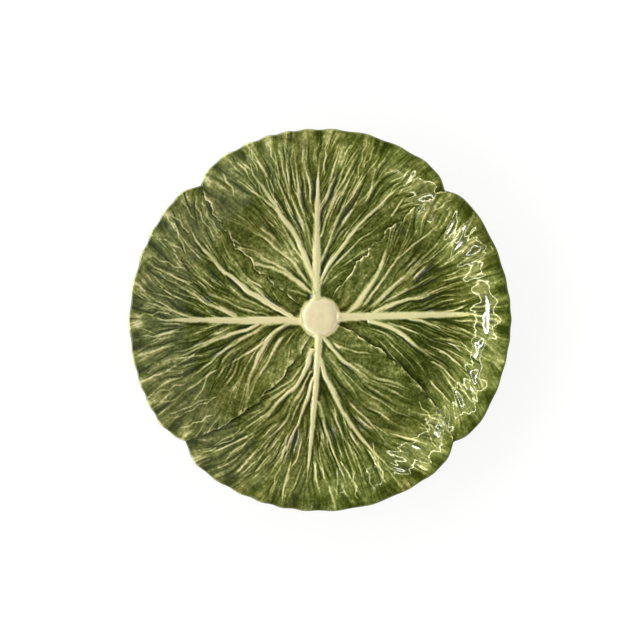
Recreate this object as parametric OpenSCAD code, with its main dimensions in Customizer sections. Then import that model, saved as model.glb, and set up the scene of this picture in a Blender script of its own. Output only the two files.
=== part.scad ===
// Salad plate moulded as four overlapping cabbage leaves round a cut stalk, in glazed earthenware.
// Millimetres, +Z up. The origin is on the table, under the middle of the plate.

/* [Plate] */
// Width across the lobes of the rim
plate_w = 200; // [180:1:260]
// Height of the rim above the table
plate_h = 23; // [20:0.5:32]
// Thickness of the clay under the floor of the plate
floor_t = 5; // [4:0.1:7]
// Thickness of the clay at the rim
rim_t = 3.8; // [3:0.1:5]
// Diameter of the level floor, where the wall starts to rise
well_d = 132; // [124:1:150]
// Height of the slow waves along the rim
rim_wave = 0.7; // [0:0.1:2]
// Width of the rounded lip, seen from above
lip_w = 1.4; // [0.8:0.1:2.5]
// How far the lip is rounded off, above and below
lip_round = 1.1; // [0.5:0.1:1.4]

/* [Foot ring] */
// Diameter of the foot ring at the middle of its tread
foot_d = 110; // [80:1:112]
// Height of the foot ring
foot_h = 3; // [2:0.1:5]
// Width of the foot ring where it joins the leaves
foot_w = 7; // [6:0.1:9]
// Width of the tread that the plate stands on
tread_w = 3; // [2:0.1:4.5]

/* [Leaves] */
// Depth of the notch in the rim where two leaves meet
notch_depth = 4.8; // [0:0.1:9]
// Length of rim that one notch takes up
notch_w = 36; // [15:1:60]
// Height of a leaf's free edge above the leaf that it lies on
edge_step = 1.1; // [0.3:0.1:2.5]
// Width of the band in which a leaf rises to its free edge
edge_rise_w = 11; // [4:0.5:20]
// Sideways size of the crinkles in a leaf's free edge
crinkle = 0.9; // [0:0.1:2]
// Radial size of the ruffles in the rim
ruffle = 0.45; // [0:0.05:1]

/* [Ribs] */
// Width of a midrib where it leaves the stalk
midrib_w = 5.2; // [3:0.1:8]
// Height of a midrib there, above its leaf
midrib_h = 2; // [1:0.1:3]
// Width of the largest side vein where it leaves the midrib
vein_w = 3.6; // [2:0.1:5]
// Height of that side vein there, above its leaf
vein_h = 1.3; // [0.6:0.1:2.5]

/* [Stalk] */
// Diameter of the cut face of the stalk
stalk_d = 20; // [16:0.5:30]
// Height of the cut face above the leaves
stalk_h = 2.3; // [1:0.1:4]
// Radius of the rounded rim of the cut face
stalk_round = 1; // [0.4:0.1:2]
// Diameter of the core of the stalk, which passes down between the leaves
core_d = 14; // [10:0.5:15]
// Distance of the stalk from the middle of the plate, towards the back
stalk_y = 1.5; // [0:0.1:3]
// Clearance between the stalk and the clay round it
seam = 0.05; // [0.02:0.01:0.1]

/* [Hidden] */

RIGHT = 0;
BACK = 1;
LEFT = 2;
FRONT = 3;
LEAVES = 4;
FULL_TURN = 360;

plate_r = plate_w / 2;
well_r = well_d / 2;
core_r = core_d / 2;
stalk_r = stalk_d / 2;
floor_z = foot_h + floor_t;

// Direction of each midrib at the stalk, and how far it has turned at the rim, in degrees
midrib_angles = [0.5, 90, 180.5, 270.5];
midrib_turns = [0.5, 0.5, 1, -4];
// Direction of each leaf's free edge at the rim, and how far it has turned at the stalk, in degrees
edge_angles = [45.5, 132, 222.5, 317];
edge_turns = [14, 17, 22, 21];
// Waves in a free edge between stalk and rim, and the angle that sets them apart from leaf to leaf
crinkle_count = 5.5;
crinkle_shift = 70;
// Ruffles and slow waves round the rim; even numbers keep opposite sides of the rim alike
ruffle_count = 36;
wave_count = 14;
// The wall's steepness at the rim as a share of its mean steepness
lip_slope_share = 0.75;

// Grid of one leaf: columns across it, rows along its floor and along its wall
cols = 44;
floor_rows = 6;
wall_rows = 10;

// Share of the way from the core to the rim, at the foot of the wall and at the lip
well_share = (well_r - core_r) / (plate_r - core_r);
lip_share = 1 - lip_w / (plate_r - core_r);
rise = (plate_h - edge_step - floor_z) / wall_curve(wall_share(lip_share)) - rim_wave;
row_shares = concat(
    [for (i = [0 : floor_rows - 1]) well_share * i / floor_rows],
    [for (i = [0 : wall_rows - 1]) well_share + (lip_share - well_share) * i / (wall_rows - 1)],
    [1]
);

// Side veins of each leaf, as shares: where on the midrib the vein starts, how much of the half leaf
// it has crossed at the rim (minus is clockwise), where it fades out, its bend and its size
vein_shares = [
    [[0.06, 0.98, 0.50, 0.50, 0.9], [0.13, 0.66, 0.84, 0.60, 0.9], [0.34, 0.36, 0.90, 0.70, 0.7],
     [0.08, -0.80, 0.60, 0.45, 0.8], [0.16, -0.62, 0.74, 0.60, 1.0], [0.34, -0.36, 0.86, 0.65, 0.9]],
    [[0.04, 0.98, 0.40, 0.40, 0.8], [0.06, 0.92, 0.66, 0.50, 0.8], [0.14, 0.58, 0.84, 0.50, 1.0],
     [0.30, 0.32, 0.88, 0.55, 0.7], [0.08, -0.74, 0.88, 0.55, 1.0], [0.32, -0.24, 0.90, 0.55, 0.8]],
    [[0.05, -0.98, 0.34, 0.55, 0.8], [0.07, -0.74, 0.88, 0.42, 1.0], [0.22, -0.44, 0.84, 0.55, 0.8],
     [0.08, 0.84, 0.44, 0.50, 0.9], [0.24, 0.40, 0.66, 0.60, 0.9], [0.44, 0.26, 0.90, 0.60, 0.6]],
    [[0.10, -0.76, 0.68, 0.50, 0.9], [0.18, -0.46, 0.84, 0.50, 0.9], [0.42, -0.20, 0.88, 0.60, 0.6],
     [0.04, 0.92, 0.36, 0.50, 0.8], [0.10, 0.56, 0.88, 0.55, 1.0], [0.34, 0.26, 0.84, 0.60, 0.7]]
];
// Where a midrib ends, and the size of a rib's tip beside its root
midrib_reach_share = 0.92;
rib_tip_share = 0.28;
midrib_steps = 7;
vein_steps = 5;
// Flat sides of a rib's section
rib_sides = 8;
fine = 96;
overrun = 1;

leaf_green = [0.42, 0.46, 0.24];
rib_cream = [0.88, 0.84, 0.64];
stalk_cream = [0.90, 0.85, 0.69];
bare_clay = [0.86, 0.80, 0.70];

function lerp(a, b, t) = a + (b - a) * t;
function limited(x) = max(0, min(1, x));
function smooth(x) = let (t = limited(x)) t * t * (3 - 2 * t);

// Leaf k's midrib and its free, anticlockwise edge: directions in degrees at a row share q.
// Edge k - 1 is the clockwise edge of leaf k, which lies under its neighbour.
function midrib_angle(k, q) = midrib_angles[k] + midrib_turns[k] * q;
function edge_angle(k, q) =
    let (
        i = (k + LEAVES) % LEAVES,
        r = lerp(core_r, plate_r, q),
        wave = crinkle * sin(FULL_TURN * crinkle_count * q + crinkle_shift * i) * smooth(q / well_share)
    )
    edge_angles[i] + (k - i) / LEAVES * FULL_TURN + edge_turns[i] * (1 - q)
        + asin(wave * (1 - q) / r);

// The rim and the foot of the wall, as distances from the stalk in the direction a
function angle_between(a, b) = abs((a - b + 5 * FULL_TURN / 2) % FULL_TURN - FULL_TURN / 2);
function notch(a) =
    let (apart = min([for (e = edge_angles) angle_between(a, e)]) * PI / 180 * plate_r)
    notch_depth * pow(limited(1 - 2 * apart / notch_w), 2);
function from_stalk(r, a) = r - stalk_y * sin(a);
function rim_r(a) = from_stalk(plate_r - ruffle + ruffle * cos(ruffle_count * a) - notch(a), a);
function row_r(q, a) =
    q < well_share
        ? lerp(core_r, from_stalk(well_r, a), q / well_share)
        : lerp(from_stalk(well_r, a), rim_r(a), (q - well_share) / (1 - well_share));

// Height of the wall as a share of its rise: it leaves the floor level and eases off at the lip
function wall_share(q) = limited((q - well_share) / (1 - well_share));
function wall_curve(x) = (3 - lip_slope_share) * x * x + (lip_slope_share - 2) * x * x * x;
function base_z(q, a) =
    let (x = wall_share(q))
    floor_z + rise * wall_curve(x) + rim_wave * x * x * cos(wave_count * a);

// A leaf lifts towards its free edge, except under the stalk
function edge_lift(r, gap) =
    edge_step * pow(limited(1 - gap / edge_rise_w), 2) * smooth((r - stalk_r) / edge_rise_w);
function lip_drop(q) = q > lip_share ? lip_round : 0;

// Points of leaf k at row share q, in the direction a
function top_point(k, q, a) =
    let (
        r = row_r(q, a),
        gap = (edge_angle(k, q) - a) * PI / 180 * r
    )
    [r * cos(a), r * sin(a), base_z(q, a) + edge_lift(r, gap) - lip_drop(q)];
function under_point(q, a) =
    let (r = row_r(q, a))
    [r * cos(a), r * sin(a), base_z(q, a) - lerp(floor_t, rim_t, wall_share(q)) + lip_drop(q)];

// Triangles of a grid of points, n wide, between rows i and columns j
function grid_faces(rows, n, first, flip) = [
    for (i = [0 : rows - 2])
        for (j = [0 : n - 2])
            let (p = first + i * n + j)
            for (t = [[p, p + n + 1, p + n], [p, p + 1, p + n + 1]])
                flip ? [t[2], t[1], t[0]] : t
];
// Triangles of the wall that joins a line of top points to the line of points below it
function side_faces(line, below, flip) = [
    for (i = [0 : len(line) - 2])
        let (p = line[i], n = line[i + 1])
        for (t = [[p, n + below, n], [p, p + below, n + below]])
            flip ? [t[2], t[1], t[0]] : t
];

// One leaf, from its under side to its upper side
module leaf_blade(k) {
    n = cols + 1;
    rows = len(row_shares);
    angles = [
        for (q = row_shares)
            [for (j = [0 : cols]) lerp(edge_angle(k - 1, q), edge_angle(k, q), j / cols)]
    ];
    top = [for (i = [0 : rows - 1]) for (a = angles[i]) top_point(k, row_shares[i], a)];
    under = [for (i = [0 : rows - 1]) for (a = angles[i]) under_point(row_shares[i], a)];
    below = rows * n;
    faces = concat(
        grid_faces(rows, n, 0, false),
        grid_faces(rows, n, below, true),
        side_faces([for (i = [0 : rows - 1]) i * n], below, true),
        side_faces([for (i = [0 : rows - 1]) i * n + cols], below, false),
        side_faces([for (j = [0 : cols]) j], below, false),
        side_faces([for (j = [0 : cols]) (rows - 1) * n + j], below, true)
    );
    translate([0, stalk_y, 0])
        polyhedron(points = concat(top, under), faces = faces, convexity = 8);
}

// Upper side of leaf k at row share q, where w is the share of the half leaf that lies between
// the midrib and the point: plus is anticlockwise, minus is clockwise
function rib_point(k, q, w) =
    let (
        a = lerp(midrib_angle(k, q), edge_angle(w < 0 ? k - 1 : k, q), abs(w)),
        p = top_point(k, q, a)
    )
    [p[0], p[1] + stalk_y, p[2]];

// A bead of a rib: its widest section lies in the surface of the leaf
module bead(p, w, h) {
    translate(p)
        scale([w / h, w / h, 2])
            sphere(d = h, $fn = rib_sides);
}

// A tapering rib through a list of points
module rib(points, w, h) {
    last = len(points) - 1;
    for (i = [0 : last - 1])
        hull()
            for (j = [i, i + 1])
                bead(points[j], w * lerp(1, rib_tip_share, j / last), h * lerp(1, rib_tip_share, j / last));
}

function vein_path(k, v) = [
    for (i = [0 : vein_steps])
        let (q = lerp(v[0], v[2], i / vein_steps))
        rib_point(k, q, v[1] * pow((q - v[0]) / (1 - v[0]), v[3]))
];

// The midrib of leaf k and its side veins, standing on the leaf
module leaf_ribs(k) {
    difference() {
        union() {
            rib(
                [for (i = [0 : midrib_steps]) rib_point(k, midrib_reach_share * i / midrib_steps, 0)],
                midrib_w, midrib_h
            );
            for (v = vein_shares[k])
                rib(vein_path(k, v), vein_w * v[4], vein_h * v[4]);
        }
        leaf_blade(k);
        leaf_blade((k + 1) % LEAVES);
        leaf_blade((k + LEAVES - 1) % LEAVES);
        translate([0, stalk_y, -overrun])
            cylinder(r = stalk_r + seam, h = plate_h + 2 * overrun, $fn = fine);
    }
}

module green_leaf(k) {
    color(leaf_green) leaf_blade(k);
}

module cream_ribs(k) {
    color(rib_cream) leaf_ribs(k);
}

module right_leaf() { green_leaf(RIGHT); }
module back_leaf() { green_leaf(BACK); }
module left_leaf() { green_leaf(LEFT); }
module front_leaf() { green_leaf(FRONT); }
module right_ribs() { cream_ribs(RIGHT); }
module back_ribs() { cream_ribs(BACK); }
module left_ribs() { cream_ribs(LEFT); }
module front_ribs() { cream_ribs(FRONT); }

// The cut stalk: a round face over the inner ends of the leaves, and a core between them
module stalk() {
    color(stalk_cream)
        translate([0, stalk_y, 0])
            rotate_extrude($fn = fine)
                union() {
                    translate([0, foot_h])
                        square([core_r - seam, floor_t + overrun]);
                    translate([0, floor_z])
                        square([stalk_r, stalk_h - stalk_round]);
                    translate([0, floor_z])
                        square([stalk_r - stalk_round, stalk_h]);
                    translate([stalk_r - stalk_round, floor_z + stalk_h - stalk_round])
                        circle(r = stalk_round, $fn = fine);
                }
}

// The foot ring, which tapers from the leaves to its tread
module foot_ring() {
    color(bare_clay)
        rotate_extrude($fn = fine)
            polygon([
                [(foot_d - tread_w) / 2, 0],
                [(foot_d + tread_w) / 2, 0],
                [(foot_d + foot_w) / 2, foot_h],
                [(foot_d - foot_w) / 2, foot_h]
            ]);
}

right_leaf();
back_leaf();
left_leaf();
front_leaf();
right_ribs();
back_ribs();
left_ribs();
front_ribs();
stalk();
foot_ring();
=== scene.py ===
"""Salad plate moulded as overlapping cabbage leaves, in glazed earthenware."""

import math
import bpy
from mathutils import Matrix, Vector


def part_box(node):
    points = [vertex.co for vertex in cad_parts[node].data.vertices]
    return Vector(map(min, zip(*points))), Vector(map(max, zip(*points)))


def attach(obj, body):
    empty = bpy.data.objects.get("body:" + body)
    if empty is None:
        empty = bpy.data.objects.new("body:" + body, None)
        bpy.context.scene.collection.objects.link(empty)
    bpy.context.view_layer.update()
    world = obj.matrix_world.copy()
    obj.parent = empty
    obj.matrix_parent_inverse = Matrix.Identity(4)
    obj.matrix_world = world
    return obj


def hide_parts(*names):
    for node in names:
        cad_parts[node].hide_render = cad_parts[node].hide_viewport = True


bl_info = {
    "name": "Cabbage Leaf Plate",
    "version": (1, 0, 0),
    "blender": (4, 5, 0),
    "location": "View3D > Sidebar > Leaf Plate",
    "description": "Models a glazed salad plate of overlapping cabbage leaves",
    "category": "Add Mesh",
}

from types import SimpleNamespace

import bmesh
import bpy
import numpy as np
from bpy.props import FloatProperty, FloatVectorProperty, IntProperty, PointerProperty
from mathutils import Vector

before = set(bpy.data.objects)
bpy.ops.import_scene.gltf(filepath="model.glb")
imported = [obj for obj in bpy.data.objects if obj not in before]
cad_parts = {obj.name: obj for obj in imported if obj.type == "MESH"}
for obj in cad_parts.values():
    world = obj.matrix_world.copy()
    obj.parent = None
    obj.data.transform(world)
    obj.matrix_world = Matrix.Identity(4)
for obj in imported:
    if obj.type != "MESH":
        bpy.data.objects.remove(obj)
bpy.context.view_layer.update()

MM = 0.001
TURN = 2 * math.pi
SEED = 41
PICTURE_PIXELS = 640


def srgb(code):
    """Linear colour from a hex code as a designer writes it."""
    parts = [int(code[i : i + 2], 16) / 255 for i in (1, 3, 5)]
    return tuple(c / 12.92 if c <= 0.04045 else ((c + 0.055) / 1.055) ** 2.4 for c in parts)


def length(name, value, about):
    """A length that the user can change, given in millimetres."""
    return FloatProperty(name=name, description=about, default=value * MM, min=0, unit="LENGTH", precision=5)


def colour(name, code, about):
    """A colour that the user can change."""
    return FloatVectorProperty(
        name=name, description=about, default=srgb(code), size=3, min=0, max=1, subtype="COLOR"
    )


def number(name, value, about):
    """A plain number that the user can change."""
    return FloatProperty(name=name, description=about, default=value)


def box_mm(node):
    """Lowest and highest corner of one solid of the frame, in millimetres."""
    low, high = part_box(node)
    return [c / MM for c in low], [c / MM for c in high]


STALK_LOW, STALK_HIGH = box_mm("stalk")
FOOT_LOW, FOOT_HIGH = box_mm("foot_ring")

# -------------------- properties


class PlateSizes(bpy.types.PropertyGroup):
    """Sizes of the plate itself."""

    plate_width: length("Width", 200, "Width across the lobes of the rim")
    plate_height: length("Height", 23, "Height of the rim above the table")
    well_width: length("Level floor", 132, "Diameter of the level floor")
    floor_clay: length("Floor", 5, "Thickness of the clay under the floor")
    rim_clay: length("Rim", 3.8, "Thickness of the clay at the rim")
    rim_wave: length("Rim wave", 0.7, "Height of the slow waves along the rim")
    lip_width: length("Lip", 1.8, "Width of the rounded lip, seen from above")
    notch_depth: length("Notch depth", 4.8, "Depth of the notch where two leaves meet")
    notch_length: length("Notch length", 36, "Length of rim that one notch takes up")
    ruffle: length("Ruffle", 0.65, "Radial size of the ruffles in the rim")
    edge_step: length("Edge step", 1.1, "Height of a free leaf edge above the next leaf")
    edge_rise: length("Edge rise", 11, "Width in which a leaf rises to its free edge")
    edge_round: length("Edge rounding", 0.7, "Rounding of a free leaf edge")
    crinkle: length("Crinkle", 0.9, "Sideways size of the long waves in a leaf edge")
    frill: length("Frill", 1.9, "Sideways size of the short waves in a leaf edge")
    core_width: length("Core", 14, "Diameter where the leaves start under the stalk")
    stalk_width: length("Stalk", STALK_HIGH[0] - STALK_LOW[0], "Diameter of the cut stalk")
    stalk_top: length("Stalk top", STALK_HIGH[2], "Height of the cut face above the table")
    stalk_offset: length(
        "Stalk offset", (STALK_LOW[1] + STALK_HIGH[1]) / 2, "Distance of the stalk from the middle of the plate"
    )
    foot_width: length("Foot ring", FOOT_HIGH[0] - FOOT_LOW[0], "Outer diameter of the foot ring")
    foot_height: length("Foot height", FOOT_HIGH[2], "Height of the foot ring")
    foot_clay: length("Foot wall", 7, "Width of the foot ring where it joins the leaves")
    tread: length("Tread", 3, "Width of the level tread of the foot ring")


class LeafRelief(bpy.types.PropertyGroup):
    """Relief of the leaves."""

    midrib_width: length("Midrib width", 4.6, "Width of a midrib at the stalk")
    midrib_height: length("Midrib height", 1.3, "Height of a midrib at the stalk")
    vein_width: length("Vein width", 2.4, "Width of the largest side vein at its root")
    vein_height: length("Vein height", 0.84, "Height of the largest side vein at its root")
    fold_height: length("Folds", 0.2, "Height of the broad folds between the veins")
    ridge_height: length("Ridges", 0.22, "Height of the narrow ridges along the veins")
    groove_depth: length("Grooves", 0.3, "Depth of the narrow grooves along the veins")
    streak_height: length("Streaks", 0.06, "Height of the finest streaks")
    ripple_height: length("Ripples", 0.2, "Height of the smooth ripples of glaze on the wall")
    back_relief: length("Back relief", 0.5, "Height of the veins on the underside")
    seed: IntProperty(name="Seed", description="Draws another set of small veins", default=SEED)


class GlazeColours(bpy.types.PropertyGroup):
    """Colours of the glazes and the clay, from thin glaze to pooled glaze."""

    cream: colour("Cream", "#e8dfab", "Cream glaze on the ribs")
    pale: colour("Pale", "#bbbc7c", "Green glaze where it is thinnest")
    light: colour("Light", "#898c4d", "Green glaze on a crest")
    middle: colour("Middle", "#666d33", "Green glaze at its usual thickness")
    deep: colour("Deep", "#49511b", "Green glaze in a hollow")
    pooled: colour("Pooled", "#30380a", "Green glaze pooled in a groove")
    stalk: colour("Stalk", "#ecdeb6", "Cream glaze on the cut stalk")
    clay: colour("Bare clay", "#dccbab", "Unglazed clay on the tread")


class StudioSettings(bpy.types.PropertyGroup):
    """Camera, lamps and floor."""

    camera_height: length("Camera height", 1500, "Height of the camera above the table")
    plate_pixels: number("Plate width", 384.5, "Width of the plate in the picture, in pixels")
    floor_tone: colour("Floor", "#a8a8a6", "Colour of the floor")
    tent_level: number("Tent", 3.88, "Radiance of the low ring of even light")
    top_level: number("Top", 0.03, "Radiance straight above the plate")
    key_level: number("Key", 0.6, "How much brighter the ring is on the left")
    arc_level: number("Arc", 30, "Radiance of the thin arc of light on the left")
    panel_level: number("Panel", 0.3, "Radiance of the soft panel on the left")
    veil_level: number("Veil", 0.45, "Radiance of the weak panel on the right")


def millimetres(group):
    """The lengths of a property group as plain numbers in millimetres."""
    lengths = [p.identifier for p in group.bl_rna.properties if getattr(p, "unit", "") == "LENGTH"]
    return SimpleNamespace(**{name: getattr(group, name) / MM for name in lengths})


# -------------------- form of the plate
# Lengths here are in millimetres, angles in radians, and x and y are measured from the stalk.
# A point of leaf k has a share q of the way from the core to the rim, and a share w of the
# half leaf between the midrib (0) and the leaf's edge: plus is anticlockwise, minus clockwise.

LEAF_NAMES = ("right", "back", "left", "front")
LEAVES = len(LEAF_NAMES)
# Direction of each midrib, its turn on the way to the stalk or rim, in degrees, and its shift
# to one side; then direction and turn of each leaf's free edge
MIDRIB_ANGLES = (0.9, 90, 180, 267.2)
MIDRIB_TURNS = (0.5, -1.2, -0.3, -2.2)
MIDRIB_OFFSETS = (0, 2.1, 1.8, 0)
EDGE_ANGLES = (45.5, 132, 222.5, 317)
EDGE_TURNS = (14, 17, 22, 21)
# Strength of the short waves of each free edge, how pale it is from thin glaze and a painted highlight, and how
# much glaze pools beside it, with painted shade there
EDGE_FRILLS = (1.1, 1.05, 0.6, 0.6)
EDGE_PALE_GLAZE_AND_HIGHLIGHTS = (0.5, 0.5, 0.35, 0.4)
EDGE_POOLS_AND_SHADE = (0.55, 0.5, 0.75, 0.7)
# Long waves along a leaf edge and their shift from leaf to leaf, and the scallops of the rim
CRINKLE_COUNT = 5.5
CRINKLE_SHIFT = 70 / 360
SCALLOP_COUNT = 44
# How far the rim stands off a circle at every 15 degrees
LOBES = (-0.2, -0.7, -1.0, -1.0, -0.5, 0, -0.1, 0, -0.6, -1.0, -0.8, -0.5, -0.2, 0, -0.2, -0.4, -0.1, 0, -0.1,
         0, -0.3, -0.6, -0.8, -0.7, -0.2)
# Slow waves of the rim, and the slope of the wall at its lip as a share of its mean slope
WAVE_COUNT = 14
LIP_SLOPE = 0.75


def mix(a, b, t):
    """Blend from a to b."""
    return a + (b - a) * t


def smooth(x, low=0.0, high=1.0):
    """Ease from 0 to 1 while x goes from low to high."""
    t = np.clip((x - low) / (high - low), 0, 1)
    return t * t * (3 - 2 * t)


def hump(x, width, power=2):
    """1 where x is 0, fading out over about a width to either side."""
    return np.exp(-((x / width) ** power))


def plate_form(scene):
    """The plate's sizes, with the few that follow from them."""
    p = millimetres(scene.plate_sizes)
    p.plate_r, p.well_r, p.core_r, p.stalk_r = (
        d / 2 for d in (p.plate_width, p.well_width, p.core_width, p.stalk_width)
    )
    p.floor_z = p.foot_height + p.floor_clay
    p.well_share = (p.well_r - p.core_r) / (p.plate_r - p.core_r)
    p.lip_share = 1 - p.lip_width / (p.plate_r - p.core_r)
    x = (p.lip_share - p.well_share) / (1 - p.well_share)
    p.rise = (p.plate_height - p.edge_step - p.floor_z) / wall_curve(x) - p.rim_wave
    return p


def wall_curve(x):
    """Height of the wall as a share of its rise, level at its foot and easing off at the lip."""
    return (3 - LIP_SLOPE) * x**2 + (LIP_SLOPE - 2) * x**3


def zigzag(turns):
    """A wave with straight flanks, from -1 to 1."""
    return 4 * np.abs((turns + 0.25) % 1 - 0.5) - 1


def midrib_angle(p, k, q):
    return np.radians(MIDRIB_ANGLES[k] + MIDRIB_TURNS[k] * q) + MIDRIB_OFFSETS[k] / mix(p.core_r, p.plate_r, q)


def edge_angle(p, k, q, frilled=True):
    """Direction of leaf k's free, anticlockwise edge; edge k - 1 is its clockwise one."""
    i = k % LEAVES
    r = mix(p.core_r, p.plate_r, q)
    wave = p.crinkle * np.sin(TURN * (CRINKLE_COUNT * q + CRINKLE_SHIFT * i))
    wave = wave * smooth(q / p.well_share) * (1 - q)
    if frilled:
        uneven = q + 0.35 * q**2 + 0.03 * np.sin(TURN * (2.3 * q + 0.37 * i))
        uneven = uneven + 0.01 * np.sin(TURN * (6.1 * q + 0.7 * i))
        teeth = 0.65 * zigzag(5.2 * uneven + 0.31 * i + 0.1) + 0.3 * zigzag(12.7 * uneven + 0.63 * i)
        teeth = teeth + 0.12 * np.sin(TURN * (27 * uneven + 0.2 * i))
        wave = wave + p.frill * EDGE_FRILLS[i] * teeth * smooth(q, 0.04, 0.2) * (1 - 0.5 * q)
    turned = EDGE_ANGLES[i] + (k - i) * 90 + EDGE_TURNS[i] * (1 - q)
    return np.radians(turned) + np.arcsin(wave / r)


def notch(p, a):
    """How far the rim is drawn in where two leaves meet."""
    apart = np.min([np.abs((a - math.radians(e) + math.pi) % TURN - math.pi) for e in EDGE_ANGLES], axis=0)
    return p.notch_depth * np.clip(1 - 2 * apart * p.plate_r / p.notch_length, 0, 1) ** 2


def scallop(a):
    """Uneven scallops along the rim, from -1 in a hollow to 1 on a crest."""
    return np.cos(SCALLOP_COUNT * a + 2.2 * np.sin(3 * a + 0.4) + 1.4 * np.sin(7 * a))


def rim_radius(p, a):
    """Distance of the rim from the stalk; the scallops are deepest on the left."""
    strength = 0.35 + 0.65 * (0.5 - 0.5 * np.cos(a + 0.2))
    ruffles = p.ruffle * strength * 0.7 * (scallop(a) - 1)
    lobes = np.interp(np.degrees(a) % 360, np.arange(25) * 15, LOBES)
    return p.plate_r + ruffles + lobes - notch(p, a) - p.stalk_offset * np.sin(a)


def well_radius(p, a):
    return p.well_r - p.stalk_offset * np.sin(a)


def radius_at(p, q, a):
    well = well_radius(p, a)
    inner = mix(p.core_r, well, q / p.well_share)
    outer = mix(well, rim_radius(p, a), (q - p.well_share) / (1 - p.well_share))
    return np.where(q < p.well_share, inner, outer)


def share_at(p, r, a):
    well = well_radius(p, a)
    inner = (r - p.core_r) / (well - p.core_r) * p.well_share
    outer = p.well_share + (1 - p.well_share) * (r - well) / (rim_radius(p, a) - well)
    return np.where(r < well, inner, outer)


def wall_share(p, q):
    """How far up the wall a point is: 0 at its foot, 1 at the rim."""
    return np.clip((q - p.well_share) / (1 - p.well_share), 0, 1)


def upper_height(p, q, a):
    """Height of the smooth upper side, before its relief."""
    x = wall_share(p, q)
    rise = p.rise * (1 - 0.6 * notch(p, a) / (p.plate_r - p.well_r))
    return p.floor_z + rise * wall_curve(x) + p.rim_wave * x**2 * np.cos(WAVE_COUNT * a)


# -------------------- veins of one leaf
# Side veins of each leaf as shares: where on the midrib the vein starts, how much of the half
# leaf it has crossed at the rim, where it fades out, its bend, its size and how cream it is.

SIDE_VEINS = (
    ((0.06, 1.4, 0.5, 0.61, 1, 1), (0.2, 0.32, 0.6, 0.45, 0.8, 1), (0.14, 0.83, 0.6, 0.6, 0.7, 0.4),
     (0.2, 0.75, 0.7, 0.49, 0.4, 0.5), (0.19, -0.8, 0.58, 0.45, 1, 1), (0.38, -0.32, 0.63, 0.6, 0.9, 1),
     (0.3, -0.38, 0.8, 0.12, 0.4, 0.4)),
    ((0.13, 0.64, 0.76, 0.65, 1.35, 1), (0.04, 1.6, 0.37, 0.54, 0.9, 0.9), (0.06, 1.06, 0.63, 0.54, 0.7, 0.5),
     (0.3, 0.24, 0.85, 0.35, 0.6, 0.4), (0.25, 0.33, 0.85, 0.4, 0.8, 0.4), (0.1, -0.85, 0.88, 0.4, 0.9, 1),
     (0.38, -0.35, 0.88, 0.58, 0.7, 0.8), (0.22, -0.45, 0.78, 0.35, 0.6, 0.4)),
    ((0.07, -0.79, 0.84, 0.27, 1.25, 1), (0.36, -0.38, 0.7, 0.52, 0.8, 0.9), (0.18, -0.45, 0.9, 0.4, 0.5, 0.45),
     (0.05, -0.98, 0.43, 0.25, 0.4, 0.4), (0.08, 1.59, 0.42, 0.83, 1, 1), (0.26, 0.39, 0.66, 0.6, 0.9, 0.9)),
    ((0.1, -0.92, 0.55, 0.35, 1, 0.9), (0.25, -0.36, 0.9, 0.35, 0.8, 0.9), (0.22, -0.57, 0.75, 0.22, 0.5, 0.5),
     (0.01, 1.2, 0.38, 0.55, 0.8, 0.9), (0.12, 0.6, 0.88, 0.8, 1.1, 1), (0.38, 0.29, 0.85, 0.7, 0.6, 0.7)),
)
# Thin veins that start away from the midrib: share of the way out and across, at both ends.
THIN_VEINS = (
    ((0.45, 0.7, 0.84, 0.79), (0.6, -0.48, 0.84, -0.54), (0.58, -0.64, 0.86, -0.69), (0.62, -0.84, 0.86, -0.88)),
    ((0.55, 0.4, 0.88, 0.75), (0.62, -0.9, 0.8, -0.85)),
    ((0.28, -0.75, 0.52, -0.81), (0.25, 0.38, 0.55, 0.52), (0.56, 0.49, 0.84, 0.62)),
    ((0.68, -0.76, 0.94, -0.85), (0.72, -0.19, 1, -0.16)),
)
# How many short crinkles cross the outer part of each leaf
CRINKLES = (4, 12, 18, 12)
# Half width of each midrib, as shares of its half width at the stalk
MIDRIB_PLACES = (0.03, 0.25, 0.46, 0.66, 0.76, 0.83)
MIDRIB_WIDTHS = ((1, 0.87, 0.8, 0.7, 0.3, 0.13), (1, 0.9, 0.67, 0.4, 0.18, 0.12),
                 (1, 0.87, 0.72, 0.48, 0.28, 0.15), (0.8, 0.65, 0.52, 0.36, 0.2, 0.12))
# Shares of the way out at which a vein is described, a little past the rim
STEPS = np.linspace(0, 1.06, 540)
# Small veins in a half leaf, and limits of their half width, height and cream tone
SMALL_VEINS = 16
BOLD, SLIGHT = ((0.7, 1.3), (0.45, 0.75), (0.1, 0.45)), ((0.3, 0.6), (0.25, 0.5), (0.05, 0.3))
# Where the ripples of the wall are livelier: direction and half width in degrees, strength
LIVELY = ((26, 20, 0.7), (-32, 14, 0.35), (-62, 12, 0.6), (180, 60, 0.1), (-180, 60, 0.1))
# A faint line that a tool left round the right wall: height, direction and half length in
# degrees, share of the plate's radius and half width
TOOL_HEIGHT, TOOL_ANGLE, TOOL_REACH, TOOL_SHARE, TOOL_WIDTH = 0.085, 0.8, 10, 0.875, 2.2
# Thick drops of glaze on the right wall: their height, and direction, distance from the stalk
# and half width of each
DROP_HEIGHT = 0.12
DROPS = ((-9.2, 87, 3.0), (-13.2, 86.2, 3.0), (-19.3, 88.2, 2.8))
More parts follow.
